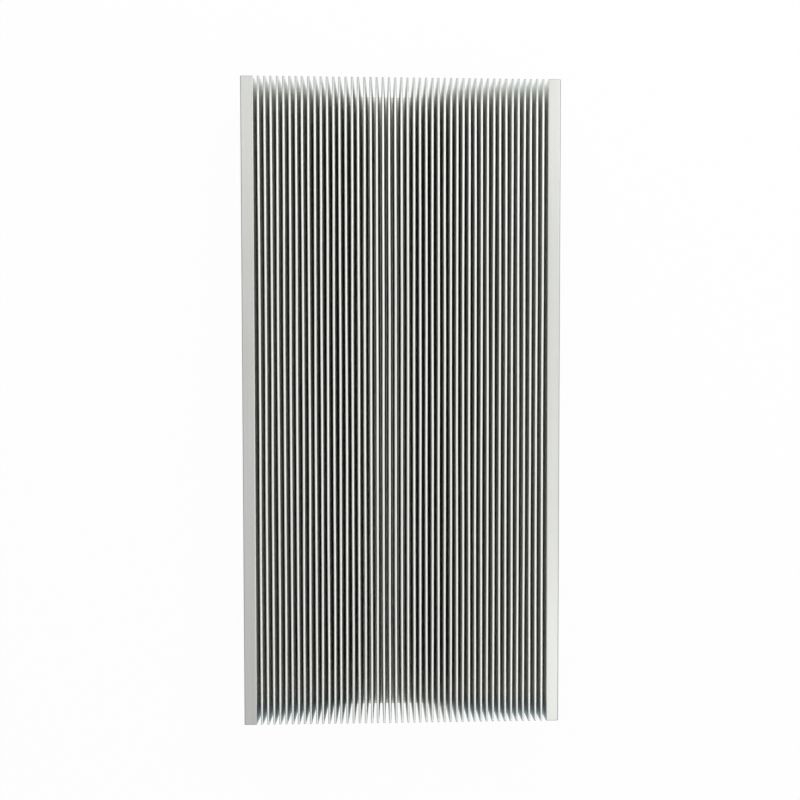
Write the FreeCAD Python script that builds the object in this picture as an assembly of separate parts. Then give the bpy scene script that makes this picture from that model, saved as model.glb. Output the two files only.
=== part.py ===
import FreeCAD
import Part

import math
import os

# A dense-fin heat sink, cut to length from one aluminium extrusion.
#
# The section lies in the XZ plane and runs along Y. A flat base plate carries
# a thick rail down each side and a comb of thin fins between them. The rails
# are as tall as the fins. Each fin is drafted: thick at the root, thin at the
# tip, with a rounded tip and a small radius where it meets the channel floor.
# The outer edges of both saw cuts are filed off: round the base plate, up the
# rails and across the tips of the fins. The channels keep their sharp ends.
# The origin is the middle of the underside, and +Z points out of the fin tips.
# Every size is in millimetres.

# Block
WIDTH = 200.0
LENGTH = 406.0
BASE_THICKNESS = 6.0
FIN_HEIGHT = 24.0

# Side rails, drafted on the inner face only
RAIL_TOP = 8.0
RAIL_ROOT = 8.5
RAIL_OUTER_RADIUS = 1.0
RAIL_INNER_RADIUS = 0.6

# Fins and the channels between them
FIN_COUNT = 47
FIN_TIP = 1.5
FIN_ROOT = 2.5
TIP_RADIUS = 0.7
CHANNEL_RADIUS = 0.4

# Underside corners, and the filed edge of each saw cut
BASE_RADIUS = 0.8
END_CHAMFER = 0.3

HEIGHT = BASE_THICKNESS + FIN_HEIGHT

# The most of a straight side that the rounding at one end of it may take
ROUNDING_SHARE = 0.49

# Two lengths closer than this are the same
TOLERANCE = 1e-6


def fin_centres():
    """X of each fin, from -X to +X, with equal gaps between fins and rails at the tips."""
    clear = WIDTH - 2 * RAIL_TOP
    pitch = (clear + FIN_TIP) / (FIN_COUNT + 1)
    return [(i - (FIN_COUNT - 1) / 2) * pitch for i in range(FIN_COUNT)]


def outer_corners():
    """The four corners of the block as (x, z, radius), anticlockwise seen from -Y."""
    side = WIDTH / 2
    return [
        (-side, 0, BASE_RADIUS),
        (side, 0, BASE_RADIUS),
        (side, HEIGHT, RAIL_OUTER_RADIUS),
        (-side, HEIGHT, RAIL_OUTER_RADIUS),
    ]


def comb_corners():
    """The corners of rails, channels and fins as (x, z, radius), from the +X rail to the -X rail."""
    side = WIDTH / 2
    corners = [
        (side - RAIL_TOP, HEIGHT, RAIL_INNER_RADIUS),
        (side - RAIL_ROOT, BASE_THICKNESS, CHANNEL_RADIUS),
    ]
    for x in reversed(fin_centres()):
        corners += [
            (x + FIN_ROOT / 2, BASE_THICKNESS, CHANNEL_RADIUS),
            (x + FIN_TIP / 2, HEIGHT, TIP_RADIUS),
            (x - FIN_TIP / 2, HEIGHT, TIP_RADIUS),
            (x - FIN_ROOT / 2, BASE_THICKNESS, CHANNEL_RADIUS),
        ]
    corners += [
        (-side + RAIL_ROOT, BASE_THICKNESS, CHANNEL_RADIUS),
        (-side + RAIL_TOP, HEIGHT, RAIL_INNER_RADIUS),
    ]
    return corners


def rounded_outline(corners, y):
    """Closed wire at station y through the corners, each rounded to its radius."""
    points = [FreeCAD.Vector(x, y, z) for x, z, _ in corners]
    arcs = []
    for i, (_, _, radius) in enumerate(corners):
        here = points[i]
        back = points[i - 1] - here
        ahead = points[(i + 1) % len(points)] - here
        half = back.getAngle(ahead) / 2
        room = ROUNDING_SHARE * min(back.Length, ahead.Length)
        reach = min(radius / math.tan(half), room)
        back.normalize()
        ahead.normalize()
        inward = (back + ahead).normalize()
        size = reach * math.tan(half)
        middle = here + inward * (size / math.sin(half) - size)
        arcs.append((here + back * reach, middle, here + ahead * reach))
    edges = []
    for i, (start, middle, end) in enumerate(arcs):
        edges.append(Part.Arc(start, middle, end).toShape())
        edges.append(Part.LineSegment(end, arcs[(i + 1) % len(arcs)][0]).toShape())
    return Part.Wire(edges)


def bar(corners):
    """The rounded section through the corners, run along Y between the two saw cuts."""
    section = Part.Face(rounded_outline(corners, -LENGTH / 2))
    return section.extrude(FreeCAD.Vector(0, LENGTH, 0))


def is_cut_edge(edge):
    """Whether an edge lies wholly in one of the two saw cuts."""
    box = edge.BoundBox
    return box.YLength < TOLERANCE and abs(abs(box.YMin) - LENGTH / 2) < TOLERANCE


def filed_block():
    """The plain block round the whole section, with every edge of its two ends chamfered."""
    block = bar(outer_corners())
    return block.makeChamfer(END_CHAMFER, [edge for edge in block.Edges if is_cut_edge(edge)])


def heat_sink():
    """The finned bar, kept inside the filed block so that the same file strokes cross its ends."""
    outer = outer_corners()
    finned = bar(outer[:3] + comb_corners() + outer[3:])
    return finned.common(filed_block())


os.makedirs("parts", exist_ok=True)
part = heat_sink()
part.exportStep("parts/heat_sink.step")
box = part.BoundBox
print("valid", part.isValid(), "solids", len(part.Solids), "faces", len(part.Faces))
print("size", round(box.XLength, 3), round(box.YLength, 3), round(box.ZLength, 3))
print("volume cm3", round(part.Volume / 1000, 2))
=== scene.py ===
"""A dense-fin extruded aluminium heat sink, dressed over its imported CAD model.

Laid out as an add-on: properties for the sizes and colours, one operator for the heat sink
and one for the stage, and a panel that lists them. Run as a script, it calls both operators.
Lengths are in metres, +Y runs along the extrusion and +Z points out of the fin tips.
"""

import bpy
import numpy as np
from bpy.props import FloatProperty, FloatVectorProperty, IntProperty, PointerProperty
from mathutils import Matrix, Vector


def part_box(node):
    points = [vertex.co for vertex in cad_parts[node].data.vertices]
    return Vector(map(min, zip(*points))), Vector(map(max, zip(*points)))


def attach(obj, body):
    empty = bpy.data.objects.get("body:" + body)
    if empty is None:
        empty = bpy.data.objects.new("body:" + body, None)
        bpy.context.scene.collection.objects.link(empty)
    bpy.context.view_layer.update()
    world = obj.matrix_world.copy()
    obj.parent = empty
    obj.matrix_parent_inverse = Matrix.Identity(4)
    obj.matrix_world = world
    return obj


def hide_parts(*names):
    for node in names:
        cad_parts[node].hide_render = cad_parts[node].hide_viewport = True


bl_info = {
    "name": "Extruded heat sink",
    "version": (1, 0, 0),
    "blender": (4, 5, 0),
    "location": "View3D > Sidebar > Heat sink",
    "description": "Builds a dense-fin extruded heat sink, its satin aluminium and a plain studio",
    "category": "Mesh",
}

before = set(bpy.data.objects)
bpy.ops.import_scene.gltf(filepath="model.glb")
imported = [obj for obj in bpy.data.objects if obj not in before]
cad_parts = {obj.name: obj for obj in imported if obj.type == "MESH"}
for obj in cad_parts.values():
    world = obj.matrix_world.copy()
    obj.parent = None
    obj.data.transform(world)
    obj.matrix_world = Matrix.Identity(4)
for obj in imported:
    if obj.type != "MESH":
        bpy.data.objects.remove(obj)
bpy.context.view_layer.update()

NODE = "heat_sink"
MM = 0.001
LOW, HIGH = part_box(NODE)
HALF_WIDTH = HIGH.x
HALF_LENGTH = HIGH.y
HEIGHT = HIGH.z

# How finely the outline is sampled, in straight pieces to each rounding
TIP_STEPS = 6
ROOT_STEPS = 3
RAIL_STEPS = 5
CUT_STEPS = 3
# Pieces between the two saw cuts, and the extra sections near each cut, across the painted shade at the
# ends
SECTIONS = 40
END_SHADE_STEPS = 5
# The most of a side that the rounding at one end of it may take
ROUNDING_SHARE = 0.49
# Distance from a rounding to the support point beside it, which is no farther than one of this
# many equal parts of the straight stretch between two roundings
SUPPORT = 0.08 * MM
SUPPORT_PARTS = 3

# Waves in which a fin leans from side to side along its length, as (wavelength, share), and the
# power of the height with which the lean grows
LEAN_WAVES = ((0.31, 0.7), (0.13, 0.18), (0.057, 0.08))
LEAN_SEED = 11
LEAN_POWER = 1.5

# Where a channel floor and a fin's crest come up, by the Z of the surface's normal, and the painted
# dark reflection on a rail's outer rounding, by the X of it
FLOOR_SLOPE = (0.3, 0.95)
CREST_SLOPE = (0.25, 0.9)
RAIL_EDGE_SLOPE = (0.3, 0.65)
# The least Z of a normal that looks up, and the least share of the depth at a channel floor
LOOKS_UP = 0.02
FLOOR_DEPTH = 0.9

# Width of the painted dark reflection along a saw cut's edges
EDGE_LINE = 0.5 * MM
# Distance from a saw cut at which the painted shade on the flanks is full, the shares of the fins'
# height below the tips between which it comes up, and how strong it gets on the floors
CHANNEL_SHADE_START = 45 * MM
CHANNEL_SHADE_DEPTHS = (0.08, 0.6)
FLOOR_SHADE = 0.25
# Distance from a saw cut at which the painted shade and cool reflection on the fins start and are full
END_SHADE_START = 17 * MM
END_SHADE_FULL = 3 * MM
# How strong the painted shade is on the crests at the far end, and on the flanks and crests at the
# near end, and the share of it that the near flanks lack in the middle, between these distances
FAR_CREST_SHADE = 0.5
NEAR_FLANK_SHADE = 0.8
NEAR_CREST_SHADE = 0.12
MIDDLE_SHARE = 0.7
MIDDLE_RANGE = (20 * MM, 45 * MM)


def size_property(name, description, default):
    """A length in metres."""
    return FloatProperty(name=name, description=description, default=default, unit="LENGTH")


def share_property(name, description, default):
    """A number from 0 to 1."""
    return FloatProperty(
        name=name, description=description, default=default, min=0, max=1, subtype="FACTOR"
    )


def colour_property(name, description, default):
    """A colour as linear red, green and blue."""
    return FloatVectorProperty(name=name, description=description, default=default, subtype="COLOR")


class SinkSizes(bpy.types.PropertyGroup):
    """Sizes of the section and of its small irregularities."""

    base_thickness: size_property("Base thickness", "Base plate under the channels", 6 * MM)
    rail_top: size_property("Rail at the top", "Thickness of a rail at its top", 8 * MM)
    rail_root: size_property("Rail at the root", "Thickness of a rail at the base", 8.5 * MM)
    fin_count: IntProperty(name="Fins", description="Thin fins between the two rails", default=47, min=1)
    fin_tip: size_property("Fin at the tip", "Thickness of a fin at its tip", 1.5 * MM)
    fin_root: size_property("Fin at the root", "Thickness of a fin at the base", 2.5 * MM)
    tip_radius: size_property("Tip radius", "Rounding of a fin's tip", 0.7 * MM)
    channel_radius: size_property("Channel radius", "Rounding at a fin's root", 0.4 * MM)
    rail_outer_radius: size_property("Rail outer radius", "Rounding of a rail's outer top", 1 * MM)
    rail_inner_radius: size_property("Rail inner radius", "Rounding of a rail's inner top", 0.6 * MM)
    base_radius: size_property("Base radius", "Rounding of the long bottom corners", 0.8 * MM)
    cut_radius: size_property("Cut edge radius", "Rounding of a saw cut's edges", 0.22 * MM)
    fin_lean: size_property("Fin lean", "The most that a fin's tip wanders", 0.14 * MM)


class SinkFinish(bpy.types.PropertyGroup):
    """Colours and roughness of the aluminium, and the light, shade and reflections painted on it."""

    metal: colour_property("Metal", "Satin extruded aluminium", (0.702, 0.713, 0.687))
    mottle: colour_property("Mottle", "Duller patches in it", (0.678, 0.682, 0.648))
    flank: colour_property("Flank", "Metal on the fins' sides", (0.88, 0.89, 0.855))
    # Painted shade: a dark colour that grows deep in the channels, away from the saw cuts
    channel_shade: colour_property("Channel shade", "Shade painted down the fins' sides, away from the saw cuts", (0.31, 0.315, 0.27))
    # Painted light: a paler copy of the metal on the channel floors, fullest near the saw cuts
    channel_floor: colour_property("Channel floor", "Metal of the channel floors", (0.94, 0.945, 0.905))
    # Painted highlight: bright metal on the fin crests
    crest_highlight: colour_property("Crest highlight", "Bright metal painted on the fin tips as their highlight", (0.975, 0.985, 0.95))
    # Painted shade with a painted cool reflection on the fins near the saw cuts
    end_shade: colour_property(
        "End shade",
        "Dark cool metal painted near the saw cuts as shade and a bluish reflection",
        (0.24, 0.34, 0.36),
    )
    # Painted dark reflection along the saw cuts' edges and the rails' outer edges
    dark_edge_reflection: colour_property(
        "Dark edge reflection",
        "Dark line painted along the saw cuts' edges and the rails' outer edges as a reflection",
        (0.30, 0.31, 0.35),
    )
    sawn: colour_property("Sawn", "Freshly sawn ends", (0.80, 0.805, 0.79))
    face_roughness: share_property("Face roughness", "Of the outer faces", 0.40)
    crest_roughness: share_property("Crest roughness", "Of the fin tips", 0.38)
    flank_roughness: share_property("Flank roughness", "Of the fins' sides", 0.50)
    floor_roughness: share_property("Floor roughness", "Of the channel floors", 0.50)
    sawn_roughness: share_property("Sawn roughness", "Of the sawn ends", 0.42)


class StudioLook(bpy.types.PropertyGroup):
    """Floor, background and light from all round."""

    floor: colour_property("Floor", "Plain white floor", (0.9, 0.9, 0.9))
    floor_glow: share_property(
        "Floor glow", "Share of plain white that the floor shows to the camera and to the metal", 0.95
    )
    zenith: colour_property("Zenith", "Pale light from above", (0.70, 0.70, 0.70))
    horizon: colour_property("Horizon", "Dimmer light from all round", (0.50, 0.50, 0.50))


def fin_pitch(sizes):
    """Distance between fins, with equal gaps between fins and rails at the tips."""
    clear = 2 * (HALF_WIDTH - sizes.rail_top)
    return (clear + sizes.fin_tip) / (sizes.fin_count + 1)


def section_corners(sizes):
    """Sharp corners of the section as rows of (x, z, radius, steps), anticlockwise seen from -Y.

    Each fin is the same four corners, moved to its own centre.
    """
    s, floor = sizes, sizes.base_thickness
    fin = np.array([
        (s.fin_root / 2, floor, s.channel_radius, ROOT_STEPS),
        (s.fin_tip / 2, HEIGHT, s.tip_radius, TIP_STEPS),
        (-s.fin_tip / 2, HEIGHT, s.tip_radius, TIP_STEPS),
        (-s.fin_root / 2, floor, s.channel_radius, ROOT_STEPS),
    ])
    centres = ((s.fin_count - 1) / 2 - np.arange(s.fin_count)) * fin_pitch(s)
    fins = np.repeat(fin[None], s.fin_count, axis=0)
    fins[:, :, 0] += centres[:, None]
    right = np.array([
        (HALF_WIDTH, 0, s.base_radius, RAIL_STEPS),
        (HALF_WIDTH, HEIGHT, s.rail_outer_radius, RAIL_STEPS),
        (HALF_WIDTH - s.rail_top, HEIGHT, s.rail_inner_radius, RAIL_STEPS),
        (HALF_WIDTH - s.rail_root, floor, s.channel_radius, ROOT_STEPS),
    ])
    left = right[::-1] * (-1, 1, 1, 1)
    return np.concatenate([right, fins.reshape(-1, 4), left])


def rounded_section(corners):
    """Points and outward normals of the closed outline, each corner rounded to its radius.

    A rounding of radius r at a corner with half angle h starts r / tan(h) before the corner. Its
    centre lies r / sin(h) along the bisector, and the points turn evenly about it from the
    normal of one side to the normal of the next. Each side also gets a support point beside the
    rounding at each end, so that its shading stays flat.
    """
    at, radius, steps = corners[:, :2], corners[:, 2], corners[:, 3].astype(int)
    ahead = np.roll(at, -1, axis=0) - at
    length = np.linalg.norm(ahead, axis=1)
    ahead /= length[:, None]
    back, length_back = -np.roll(ahead, 1, axis=0), np.roll(length, 1)
    half = np.arccos(np.clip((back * ahead).sum(1), -1, 1)) / 2
    reach = np.minimum(radius / np.tan(half), ROUNDING_SHARE * np.minimum(length, length_back))
    size = reach * np.tan(half)
    inward = back + ahead
    inward /= np.linalg.norm(inward, axis=1)[:, None]
    centre = at + inward * (size / np.sin(half))[:, None]
    # A side's outward normal lies on the right of its direction
    before = np.stack([-back[:, 1], back[:, 0]], axis=1)
    turn = np.cross(-back, ahead)
    sweep = np.sign(turn) * (np.pi - 2 * half)
    start = np.arctan2(before[:, 1], before[:, 0])

    # Each rounding has one point more than it has steps, and a support point on both sides
    counts = steps + 3
    corner = np.repeat(np.arange(len(at)), counts)
    first = np.repeat(np.cumsum(counts) - counts, counts)
    step = np.arange(len(corner)) - first - 1
    share = np.clip(step / steps[corner], 0, 1)
    angle = start[corner] + share * sweep[corner]
    normals = np.stack([np.cos(angle), np.sin(angle)], axis=1)
    bulge = np.sign(turn)[corner] * size[corner]
    points = centre[corner] + normals * bulge[:, None]
    margin = np.minimum(SUPPORT, (length - reach - np.roll(reach, -1)) / SUPPORT_PARTS)
    points[step < 0] += (back * np.roll(margin, 1)[:, None])[corner][step < 0]
    points[step > steps[corner]] += (ahead * margin[:, None])[corner][step > steps[corner]]
    return points, normals


def section_places(sizes):
    """Y of every section and how far it is drawn in, from the far saw cut to the near one.

    At each end the edge is a quarter circle: at a turning from 0 on the side to a right angle
    on the cut, it lies r (1 - sin a) before the end and is drawn in by r (1 - cos a).
    """
    turn = np.linspace(np.pi / 2, 0, CUT_STEPS + 1)
    ends = HALF_LENGTH - sizes.cut_radius * (1 - np.sin(turn))
    drawn = sizes.cut_radius * (1 - np.cos(turn))
    even = np.linspace(ends[-1], -ends[-1], SECTIONS + 1)[1:-1]
    # Extra sections across the painted shade near each saw cut
    end_shade = HALF_LENGTH - np.append(np.linspace(END_SHADE_FULL, END_SHADE_START, END_SHADE_STEPS), EDGE_LINE)
    inner = np.sort(np.concatenate([even, end_shade, -end_shade]))[::-1]
    places = np.concatenate([ends, inner, -ends[::-1]])
    return places, np.concatenate([drawn, np.zeros(len(inner)), drawn[::-1]])


def fin_lean(x, y, z, sizes):
    """Sideways wander of the fins: a few sine waves along Y for each fin, growing with height.

    The waves of each fin have their own starting points, and the rails and floors stay put.
    """
    number = np.rint(x / fin_pitch(sizes)) + (sizes.fin_count - 1) / 2
    is_fin = (number >= 0) & (number < sizes.fin_count)
    random = np.random.default_rng(LEAN_SEED)
    phases = random.uniform(0, 2 * np.pi, (sizes.fin_count, len(LEAN_WAVES)))
    own = phases[np.clip(number, 0, sizes.fin_count - 1).astype(int)]
    height = np.clip((z - sizes.base_thickness) / (HEIGHT - sizes.base_thickness), 0, 1)
    wave = sum(
        share * np.sin(2 * np.pi * y / length + own[..., k])
        for k, (length, share) in enumerate(LEAN_WAVES)
    )
    return sizes.fin_lean * is_fin * height**LEAN_POWER * wave


def smooth_share(value, start, end):
    """0 before start, 1 after end, and an even S curve between them."""
    t = np.clip((value - start) / (end - start), 0, 1)
    return t * t * (3 - 2 * t)


def surface_masks(x, y, z, normal_x, normal_z, sizes):
    """Per-point masks from 0 to 1, of where each part of the finish and of the painted light and shade
    lies.

    in_comb is all that lies between the rails' tops. channel_depth grows from the fin tips down
    to the channel floors. channel_floor marks those, where paler metal is painted as light, less so
    away from the saw cuts, where channel_shade_share, the painted shade deep in the channels, is
    full. fin_crest is the top of a fin, where a highlight is painted. dark_edge_reflection, a
    painted dark reflection, lies along the saw cuts and on the steep part of the rails' outer
    rounding. end_shade_share, painted shade with a cool reflection, grows towards the saw cuts:
    on the fins' crests at the far end, and on their flanks at the near end, less in the middle.
    """
    inside = HALF_WIDTH - sizes.rail_top
    from_cut = HALF_LENGTH - np.abs(y)
    in_comb = np.abs(x) < inside + sizes.rail_inner_radius / 2
    depth = np.clip((HEIGHT - z) / (HEIGHT - sizes.base_thickness), 0, 1) * in_comb
    # Channel floors, painted with paler metal as light, less so away from the saw cuts
    bottom = smooth_share(normal_z, *FLOOR_SLOPE) * (depth > FLOOR_DEPTH)
    # Painted shade deep in the channels grows with the distance from the saw cuts
    away = smooth_share(from_cut, 0, CHANNEL_SHADE_START)
    on_fin_tip = (z > HEIGHT - sizes.tip_radius) * (np.abs(x) < inside)
    # Fin crests, where a highlight is painted
    crest = smooth_share(normal_z, *CREST_SLOPE) * on_fin_tip
    # Painted dark reflection on the steep part of the rails' outer rounding and along the saw cuts
    rail_edge = smooth_share(np.abs(normal_x), *RAIL_EDGE_SLOPE) * (normal_z > LOOKS_UP)
    rail_edge = rail_edge * (np.abs(x) > HALF_WIDTH - sizes.rail_outer_radius)
    edge = np.maximum(rail_edge, from_cut < (sizes.cut_radius + EDGE_LINE) / 2)
    middle = 1 - smooth_share(np.abs(x), *MIDDLE_RANGE)
    # Painted shade and cool reflection near the saw cuts: on the near flanks, less in the middle, and on
    # the crests
    on_flank = NEAR_FLANK_SHADE * (1 - MIDDLE_SHARE * middle) * (y < 0)
    on_crest = np.where(y < 0, NEAR_CREST_SHADE, FAR_CREST_SHADE)
    near_cut_shade = on_flank * (1 - crest) + on_crest * crest
    near_cut_shade = near_cut_shade * (1 - smooth_share(from_cut, END_SHADE_FULL, END_SHADE_START))
    return {
        "in_comb": in_comb,
        "channel_depth": depth,
        "channel_floor": bottom * (1 - FLOOR_SHADE * away),
        "channel_shade_share": away,
        "fin_crest": crest,
        "dark_edge_reflection": edge,
        "end_shade_share": near_cut_shade * in_comb * (1 - bottom),
    }


def body_mesh(sizes):
    """The section carried along Y in rings, with its cut edges rounded and both ends closed."""
    points, normals = rounded_section(section_corners(sizes))
    places, drawn = section_places(sizes)
    y, inset = places[:, None], drawn[:, None]
    x = points[:, 0] - inset * normals[:, 0]
    z = points[:, 1] - inset * normals[:, 1]
    lean = fin_lean(points[:, 0], y, z, sizes)
    masks = surface_masks(points[:, 0], y, z, normals[:, 0], normals[:, 1], sizes)
    vertices = np.stack([x + lean, np.broadcast_to(y, x.shape), z], axis=-1).reshape(-1, 3)

    rings, around = x.shape
    index = np.arange(rings * around).reshape(rings, around)
    following = np.roll(index, -1, axis=1)
    walls = np.stack([index[:-1], following[:-1], following[1:], index[1:]], axis=-1).reshape(-1, 4)

    mesh = bpy.data.meshes.new("heat_sink_body")
    far_end, near_end = index[0][::-1], index[-1]
    mesh.from_pydata(vertices.tolist(), [], walls.tolist() + [far_end.tolist(), near_end.tolist()])
    flat = np.zeros(len(mesh.polygons), bool)
    flat[-2:] = True
    mesh.polygons.foreach_set("use_smooth", ~flat)
    mesh.polygons.foreach_set("material_index", flat.astype(np.int32))
    for name, mask in masks.items():
        attribute = mesh.attributes.new(name, "FLOAT", "POINT")
        attribute.data.foreach_set("value", np.broadcast_to(mask, x.shape).astype(np.float32).ravel())
    mesh.validate()
    return mesh


class Nodes:
    """Short calls that add nodes to one node tree and link them."""

    def __init__(self, tree):
        self.tree = tree

    def add(self, kind, **settings):
        """A node of that kind, with its attributes set."""
        node = self.tree.nodes.new(kind)
        for key, value in settings.items():
            setattr(node, key, value)
        return node

    def feed(self, node, **inputs):
        """Sets or links inputs by name, with underscores for spaces."""
        for key, value in inputs.items():
            self.plug(node.inputs[key.replace("_", " ")], value)
        return node

    def plug(self, socket, value):
        """Links an output socket, or sets a plain value."""
        if isinstance(value, bpy.types.NodeSocket):
            self.tree.links.new(value, socket)
        elif socket.type == "RGBA" and len(value) == 3:
            socket.default_value = (*value, 1)
        else:
            socket.default_value = value

    def maths(self, operation, *values, clamp=False):
        """One Math node's result."""
        node = self.add("ShaderNodeMath", operation=operation, use_clamp=clamp)
        for socket, value in zip(node.inputs, values):
            self.plug(socket, value)
        return node.outputs[0]

    def blend(self, share, first, second):
        """A colour between two colours."""
        node = self.add("ShaderNodeMix", data_type="RGBA")
        colours = [socket for socket in node.inputs if socket.type == "RGBA"]
        self.plug(node.inputs[0], share)
        self.plug(colours[0], first)
        self.plug(colours[1], second)
        return next(socket for socket in node.outputs if socket.type == "RGBA")

    def scaled(self, colour, factor):
        """A colour times a number."""
        node = self.add("ShaderNodeVectorMath", operation="SCALE")
        self.plug(node.inputs[0], colour)
        self.plug(node.inputs["Scale"], factor)
        return node.outputs[0]

    def remap(self, value, low, high, to_low=0.0, to_high=1.0):
        """A value's range stretched to another, with smooth ends."""
        node = self.add("ShaderNodeMapRange", interpolation_type="SMOOTHSTEP")
        for socket, given in zip(node.inputs, (value, low, high, to_low, to_high)):
            self.plug(socket, given)
        return node.outputs[0]

    def mask(self, name):
        """The value of a per-point mask of the mesh."""
        return self.add("ShaderNodeAttribute", attribute_name=name).outputs["Fac"]

    def noise(self, vector, stretch, scale, detail, roughness):
        """Noise on a vector that is first stretched by three factors."""
        mapping = self.feed(self.add("ShaderNodeMapping"), Vector=vector, Scale=stretch)
        node = self.feed(
            self.add("ShaderNodeTexNoise"),
            Vector=mapping.outputs[0],
            Scale=scale,
            Detail=detail,
            Roughness=roughness,
        )
        return node.outputs[0]


# Patterns as (stretch along X, Y and Z, scale, detail, roughness of the noise)
COARSE_LINES = ((1.0, 0.012, 1.0), 520.0, 3.0, 0.6)
FINE_LINES = ((1.0, 0.02, 1.0), 2600.0, 2.0, 0.6)
CLOUDS = ((1.0, 0.45, 1.0), 38.0, 4.0, 0.55)
SPECKS = ((1.0, 0.7, 1.0), 900.0, 2.0, 0.5)
SAW_RINGS = ((1.0, 1.0, 1.0), 2400.0, 3.0, 0.65)
COARSE_SHARE = 0.6
NOISE_MIDDLE = 0.5
# Noise values between which a cloud and a speck come up
CLOUD_RANGE = (0.35, 0.68)
SPECK_RANGE = (0.60, 0.74)
# Distance from the section to the centre of the saw's blade, below it
BLADE_RADIUS = 0.2

# How much each pattern changes the extruded metal's tone and roughness, and its relief
CLOUD_SHARE = 0.6
# Share of the painted highlight on the fin crests
CREST_HIGHLIGHT_SHARE = 0.95
LINE_TONE = 0.22
SPECK_TONE = 0.05
LINE_ROUGHNESS = 0.25
LINE_BUMP = 0.02 * MM
# The same for the sawn ends
SAW_TONE = 0.35
SAWN_CLOUD_TONE = 0.06
SAW_ROUGHNESS = 0.4
SAW_BUMP = 0.03 * MM
# Share of the depth over which the outer faces' roughness turns into the fins' own
FLANK_RANGE = (0.03, 0.12)
# How much of a relief's height the shading shows
RELIEF_SHARE = 0.5


def new_group(name, inputs, outputs):
    """An empty shader node group with named sockets, as (group, calls, its inputs, its outputs)."""
    group = bpy.data.node_groups.new(name, "ShaderNodeTree")
    for in_out, sockets in (("INPUT", inputs), ("OUTPUT", outputs)):
        for socket_name, kind, default in sockets:
            socket = group.interface.new_socket(socket_name, in_out=in_out, socket_type=kind)
            if default is not None:
                socket.default_value = default
    nodes = Nodes(group)
    return group, nodes, nodes.add("NodeGroupInput").outputs, nodes.add("NodeGroupOutput").inputs


def use_group(nodes, group, **inputs):
    """Places a group in a tree and feeds it."""
    return nodes.feed(nodes.add("ShaderNodeGroup", node_tree=group), **inputs).outputs


def die_lines_group():
    """Faint drawn lines along Y: noise squeezed across the extrusion and stretched along it."""
    group, nodes, given, result = new_group(
        "DieLines",
        [("Position", "NodeSocketVector", None), ("Strength", "NodeSocketFloat", 1.0)],
        [("Shade", "NodeSocketFloat", None), ("Height", "NodeSocketFloat", None)],
    )
    coarse = nodes.noise(given["Position"], *COARSE_LINES)
    fine = nodes.noise(given["Position"], *FINE_LINES)
    coarse = nodes.maths("MULTIPLY", coarse, COARSE_SHARE)
    both = nodes.maths("ADD", coarse, nodes.maths("MULTIPLY", fine, 1 - COARSE_SHARE))
    centred = nodes.maths("SUBTRACT", both, NOISE_MIDDLE)
    nodes.plug(result["Shade"], nodes.maths("MULTIPLY", centred, given["Strength"]))
    nodes.plug(result["Height"], both)
    return group


def mottle_group():
    """Slow cloudy change of tone, as on metal that has aged evenly on a shelf, and fine specks."""
    group, nodes, given, result = new_group(
        "Mottle",
        [("Position", "NodeSocketVector", None)],
        [("Cloud", "NodeSocketFloat", None), ("Speck", "NodeSocketFloat", None)],
    )
    nodes.plug(result["Cloud"], nodes.remap(nodes.noise(given["Position"], *CLOUDS), *CLOUD_RANGE))
    nodes.plug(result["Speck"], nodes.remap(nodes.noise(given["Position"], *SPECKS), *SPECK_RANGE))
    return group


def saw_marks_group():
    """Arcs that a circular saw leaves on a cut: fine uneven rings about a far blade centre."""
    group, nodes, given, result = new_group(
        "SawMarks",
        [("Position", "NodeSocketVector", None), ("Blade Radius", "NodeSocketFloat", BLADE_RADIUS)],
        [("Shade", "NodeSocketFloat", None), ("Height", "NodeSocketFloat", None)],
    )
    split = nodes.feed(nodes.add("ShaderNodeSeparateXYZ"), Vector=given["Position"])
    down = nodes.maths("ADD", split.outputs["Z"], given["Blade Radius"])
    across = nodes.maths("POWER", split.outputs["X"], 2.0)
    ring = nodes.maths("SQRT", nodes.maths("ADD", across, nodes.maths("POWER", down, 2.0)))
    turned = nodes.feed(nodes.add("ShaderNodeCombineXYZ"), X=ring, Y=split.outputs["Y"])
    marks = nodes.noise(turned.outputs[0], *SAW_RINGS)
    nodes.plug(result["Shade"], nodes.maths("SUBTRACT", marks, NOISE_MIDDLE))
    nodes.plug(result["Height"], marks)
    return group


def metal_shader(nodes, colour, roughness, height, bump):
    """The Principled shader of a metal, with its bump, linked to the material's output."""
    relief = nodes.feed(
        nodes.add("ShaderNodeBump"), Height=height, Distance=bump, Strength=RELIEF_SHARE
    )
    shader = nodes.feed(
        nodes.add("ShaderNodeBsdfPrincipled"),
        Base_Color=colour,
        Metallic=1.0,
        Roughness=roughness,
        Normal=relief.outputs[0],
    )
    output = nodes.add("ShaderNodeOutputMaterial")
    nodes.plug(output.inputs["Surface"], shader.outputs[0])


def blank_material(name):
    """A material with an empty node tree, and the calls that fill it."""
    material = bpy.data.materials.new(name)
    material.use_nodes = True
    material.node_tree.nodes.clear()
    return material, Nodes(material.node_tree)


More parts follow.
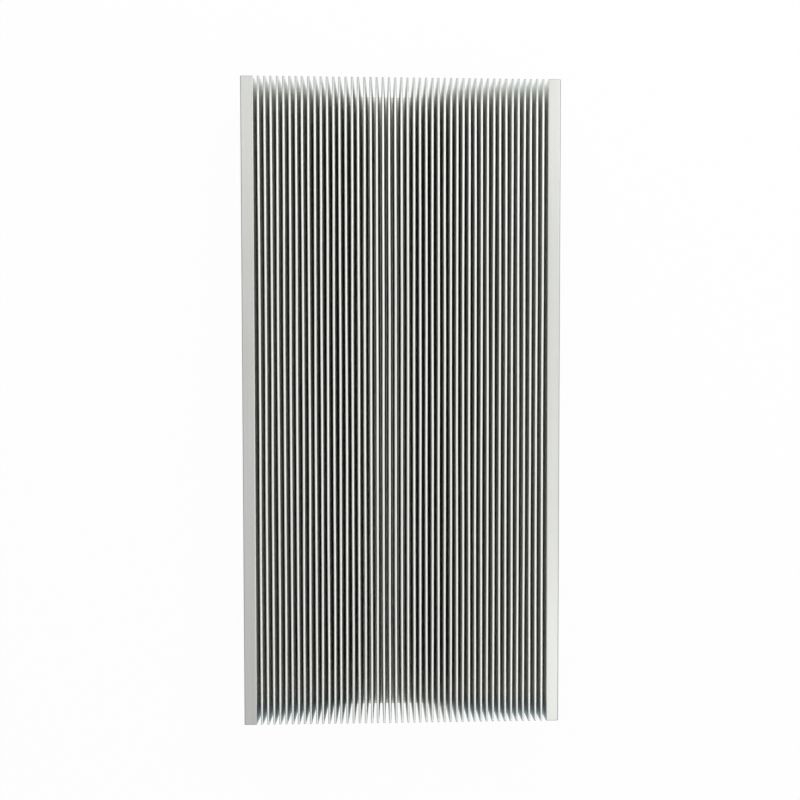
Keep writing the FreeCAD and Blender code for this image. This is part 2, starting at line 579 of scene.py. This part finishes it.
def extruded_aluminium(finish, groups):
    """Satin extruded metal: mottled and lined, with shade painted deep in the channels.

    Paler metal is painted on the channel floors as light and on the fin crests as a highlight.
    Near the saw cuts the fins get painted shade with a cool reflection, and the cut edges and
    the rails' outer edges a painted dark reflection.
    """
    material, nodes = blank_material("extruded_aluminium")
    place = nodes.add("ShaderNodeTexCoord").outputs["Object"]
    mottle = use_group(nodes, groups["mottle"], Position=place)
    lines = use_group(nodes, groups["lines"], Position=place, Strength=1.0)
    crest, floor = nodes.mask("fin_crest"), nodes.mask("channel_floor")

    cloud = nodes.maths("MULTIPLY", mottle["Cloud"], CLOUD_SHARE)
    colour = nodes.blend(cloud, finish.metal, finish.mottle)
    deep = nodes.remap(nodes.mask("channel_depth"), *CHANNEL_SHADE_DEPTHS)
    for mask, tint in (
        (nodes.mask("in_comb"), finish.flank),
        # Painted shade deep in the channels, away from the saw cuts
        (nodes.maths("MULTIPLY", deep, nodes.mask("channel_shade_share")), finish.channel_shade),
        # Painted light: paler metal on the channel floors
        (floor, finish.channel_floor),
        # Painted highlight on the fin crests
        (nodes.maths("MULTIPLY", crest, CREST_HIGHLIGHT_SHARE), finish.crest_highlight),
        # Painted shade and cool reflection on the fins near the saw cuts
        (nodes.mask("end_shade_share"), finish.end_shade),
        # Painted dark reflection along the saw cuts' edges and the rails' outer edges
        (nodes.mask("dark_edge_reflection"), finish.dark_edge_reflection),
    ):
        colour = nodes.blend(mask, colour, tint)
    tone = nodes.maths("ADD", 1.0, nodes.maths("MULTIPLY", lines["Shade"], LINE_TONE))
    tone = nodes.maths("SUBTRACT", tone, nodes.maths("MULTIPLY", mottle["Speck"], SPECK_TONE))

    in_channel = nodes.remap(nodes.mask("channel_depth"), *FLANK_RANGE)
    rough = nodes.remap(in_channel, 0.0, 1.0, finish.face_roughness, finish.flank_roughness)
    rough = nodes.remap(floor, 0.0, 1.0, rough, finish.floor_roughness)
    rough = nodes.remap(crest, 0.0, 1.0, rough, finish.crest_roughness)
    uneven = nodes.maths("MULTIPLY", lines["Shade"], LINE_ROUGHNESS)
    rough = nodes.maths("ADD", rough, uneven, clamp=True)
    metal_shader(nodes, nodes.scaled(colour, tone), rough, lines["Height"], LINE_BUMP)
    return material


def sawn_aluminium(finish, groups):
    """The cut ends: paler metal with the arcs of the saw blade."""
    material, nodes = blank_material("sawn_aluminium")
    place = nodes.add("ShaderNodeTexCoord").outputs["Object"]
    mottle = use_group(nodes, groups["mottle"], Position=place)
    marks = use_group(nodes, groups["saw"], Position=place, Blade_Radius=BLADE_RADIUS)
    tone = nodes.maths("ADD", 1.0, nodes.maths("MULTIPLY", marks["Shade"], SAW_TONE))
    tone = nodes.maths("SUBTRACT", tone, nodes.maths("MULTIPLY", mottle["Cloud"], SAWN_CLOUD_TONE))
    uneven = nodes.maths("MULTIPLY", marks["Shade"], SAW_ROUGHNESS)
    rough = nodes.maths("ADD", finish.sawn_roughness, uneven, clamp=True)
    metal_shader(nodes, nodes.scaled(finish.sawn, tone), rough, marks["Height"], SAW_BUMP)
    return material


class HEATSINK_OT_body(bpy.types.Operator):
    """Build the finned bar and its aluminium."""

    bl_idname = "heatsink.body"
    bl_label = "Heat sink"

    def execute(self, context):
        """Makes the mesh and its materials, and puts it in the CAD node's place."""
        finish = context.scene.sink_finish
        body = bpy.data.objects.new("heat_sink_body", body_mesh(context.scene.sink_sizes))
        context.scene.collection.objects.link(body)
        groups = {"lines": die_lines_group(), "mottle": mottle_group(), "saw": saw_marks_group()}
        body.data.materials.append(extruded_aluminium(finish, groups))
        body.data.materials.append(sawn_aluminium(finish, groups))
        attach(body, "root")
        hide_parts(NODE)
        return {"FINISHED"}


# The camera looks almost straight down, from where the photograph was taken
LENS = 25.5
SENSOR = 36.0
CAMERA_AT = Vector((-9.7, 1.61, 386.39)) * MM
CAMERA_AIM = Vector((-1.25, -5.68, 30.0)) * MM
CAMERA_ROLL = np.radians(-0.076)
CAMERA_SHIFT = 0.016
NEAREST, FARTHEST = 0.01, 20.0

# Floor: its half size, and its small drop below the flat underside
FLOOR_HALF = 3.0
FLOOR_DROP = 0.3 * MM

# Heights of the sky between which its light turns from the horizon's to the zenith's
SKY_RANGE = (0.45, 0.95)

# Softboxes as (name, place, width, height, watts)
SOFTBOXES = (
    ("softbox_over", (0.18, 0.0, 1.0), 0.5, 0.5, 0.42),
    ("softbox_right", (0.75, 0.0, 0.45), 0.6, 0.8, 0.7),
    ("softbox_left", (-0.75, 0.0, 0.45), 0.6, 0.8, 0.2),
    ("softbox_far_low", (0.0, 1.0, 0.2), 1.0, 0.3, 4.2),
    ("softbox_far_right", (0.6, 0.6, 0.7), 0.5, 0.5, 1.3),
    ("softbox_near_right", (0.5, -0.6, 0.85), 0.5, 0.5, 1.02),
    ("softbox_far_left", (-0.5, 0.65, 0.8), 0.5, 0.5, 0.56),
)


def floor_material(look):
    """White floor that keeps a soft shadow and can be seen through from below."""
    material, nodes = blank_material("studio_floor")
    paint = nodes.feed(nodes.add("ShaderNodeBsdfDiffuse"), Color=look.floor)
    glow = nodes.feed(nodes.add("ShaderNodeEmission"), Color=(1, 1, 1), Strength=1.0)
    path = nodes.add("ShaderNodeLightPath").outputs
    seen = nodes.maths("MAXIMUM", path["Is Camera Ray"], path["Is Glossy Ray"])
    seen = nodes.maths("MAXIMUM", seen, path["Is Transmission Ray"])
    share = nodes.maths("MULTIPLY", seen, look.floor_glow)
    mixed = nodes.add("ShaderNodeMixShader")
    for socket, source in zip(mixed.inputs, (share, paint.outputs[0], glow.outputs[0])):
        nodes.plug(socket, source)
    clear = nodes.add("ShaderNodeBsdfTransparent")
    back = nodes.add("ShaderNodeNewGeometry").outputs["Backfacing"]
    sided = nodes.add("ShaderNodeMixShader")
    for socket, source in zip(sided.inputs, (back, mixed.outputs[0], clear.outputs[0])):
        nodes.plug(socket, source)
    output = nodes.add("ShaderNodeOutputMaterial")
    nodes.plug(output.inputs["Surface"], sided.outputs[0])
    return material


def build_floor(look):
    """One flat square under the heat sink."""
    half = FLOOR_HALF
    corners = [(-half, -half), (half, -half), (half, half), (-half, half)]
    mesh = bpy.data.meshes.new("studio_floor")
    mesh.from_pydata([(x, y, LOW.z - FLOOR_DROP) for x, y in corners], [], [(0, 1, 2, 3)])
    mesh.materials.append(floor_material(look))
    floor = bpy.data.objects.new("studio_floor", mesh)
    bpy.context.scene.collection.objects.link(floor)


def build_world(look):
    """Light from all round, paler towards the zenith."""
    world = bpy.data.worlds.new("studio")
    world.use_nodes = True
    world.node_tree.nodes.clear()
    nodes = Nodes(world.node_tree)
    direction = nodes.add("ShaderNodeTexCoord").outputs["Generated"]
    split = nodes.feed(nodes.add("ShaderNodeSeparateXYZ"), Vector=direction)
    sky = nodes.blend(nodes.remap(split.outputs["Z"], *SKY_RANGE), look.horizon, look.zenith)
    background = nodes.feed(nodes.add("ShaderNodeBackground"), Color=sky, Strength=1.0)
    output = nodes.add("ShaderNodeOutputWorld")
    nodes.plug(output.inputs["Surface"], background.outputs[0])
    bpy.context.scene.world = world


def build_softbox(name, place, width, height, watts):
    """A large soft lamp aimed at the middle of the heat sink and hidden from the camera."""
    data = bpy.data.lights.new(name, "AREA")
    data.shape = "RECTANGLE"
    data.size, data.size_y, data.energy = width, height, watts
    lamp = bpy.data.objects.new(name, data)
    lamp.location = place
    lamp.rotation_euler = (-Vector(place)).to_track_quat("-Z", "Y").to_euler()
    lamp.visible_camera = False
    bpy.context.scene.collection.objects.link(lamp)


def build_camera():
    """A camera at the photograph's viewpoint, with the extrusion upright in the picture."""
    forward = (CAMERA_AIM - CAMERA_AT).normalized()
    right = forward.cross(Vector((0, 1, 0))).normalized()
    up = right.cross(forward)
    turn = Matrix((right, up, -forward)).transposed().to_4x4()
    data = bpy.data.cameras.new("photo_view")
    data.lens, data.sensor_width = LENS, SENSOR
    data.shift_y = CAMERA_SHIFT
    data.clip_start, data.clip_end = NEAREST, FARTHEST
    camera = bpy.data.objects.new("photo_view", data)
    camera.matrix_world = Matrix.Translation(CAMERA_AT) @ turn @ Matrix.Rotation(CAMERA_ROLL, 4, "Z")
    bpy.context.scene.collection.objects.link(camera)
    bpy.context.scene.camera = camera


class HEATSINK_OT_stage(bpy.types.Operator):
    """Build the floor, the soft light and the camera."""

    bl_idname = "heatsink.stage"
    bl_label = "Stage"

    def execute(self, context):
        """Makes everything round the heat sink that isn't part of it."""
        look = context.scene.studio_look
        build_floor(look)
        build_world(look)
        for softbox in SOFTBOXES:
            build_softbox(*softbox)
        build_camera()
        context.scene.view_settings.view_transform = "Standard"
        return {"FINISHED"}


class HEATSINK_PT_panel(bpy.types.Panel):
    """Sizes, colours and build buttons of the heat sink."""

    bl_idname = "HEATSINK_PT_panel"
    bl_label = "Heat sink"
    bl_space_type = "VIEW_3D"
    bl_region_type = "UI"
    bl_category = "Heat sink"

    def draw(self, context):
        """Lists each property group, then the two operators."""
        for group in (context.scene.sink_sizes, context.scene.sink_finish, context.scene.studio_look):
            column = self.layout.column(align=True)
            for name in group.__annotations__:
                column.prop(group, name)
        self.layout.operator(HEATSINK_OT_body.bl_idname)
        self.layout.operator(HEATSINK_OT_stage.bl_idname)


CLASSES = (SinkSizes, SinkFinish, StudioLook, HEATSINK_OT_body, HEATSINK_OT_stage, HEATSINK_PT_panel)


def register():
    """Registers the classes and hangs the property groups on the scene."""
    for item in CLASSES:
        bpy.utils.register_class(item)
    bpy.types.Scene.sink_sizes = PointerProperty(type=SinkSizes)
    bpy.types.Scene.sink_finish = PointerProperty(type=SinkFinish)
    bpy.types.Scene.studio_look = PointerProperty(type=StudioLook)


def unregister():
    """Takes back what register did."""
    del bpy.types.Scene.studio_look, bpy.types.Scene.sink_finish, bpy.types.Scene.sink_sizes
    for item in reversed(CLASSES):
        bpy.utils.unregister_class(item)


def main():
    """Builds the heat sink and its stage."""
    register()
    bpy.ops.heatsink.body()
    bpy.ops.heatsink.stage()


if __name__ == "__main__":
    main()
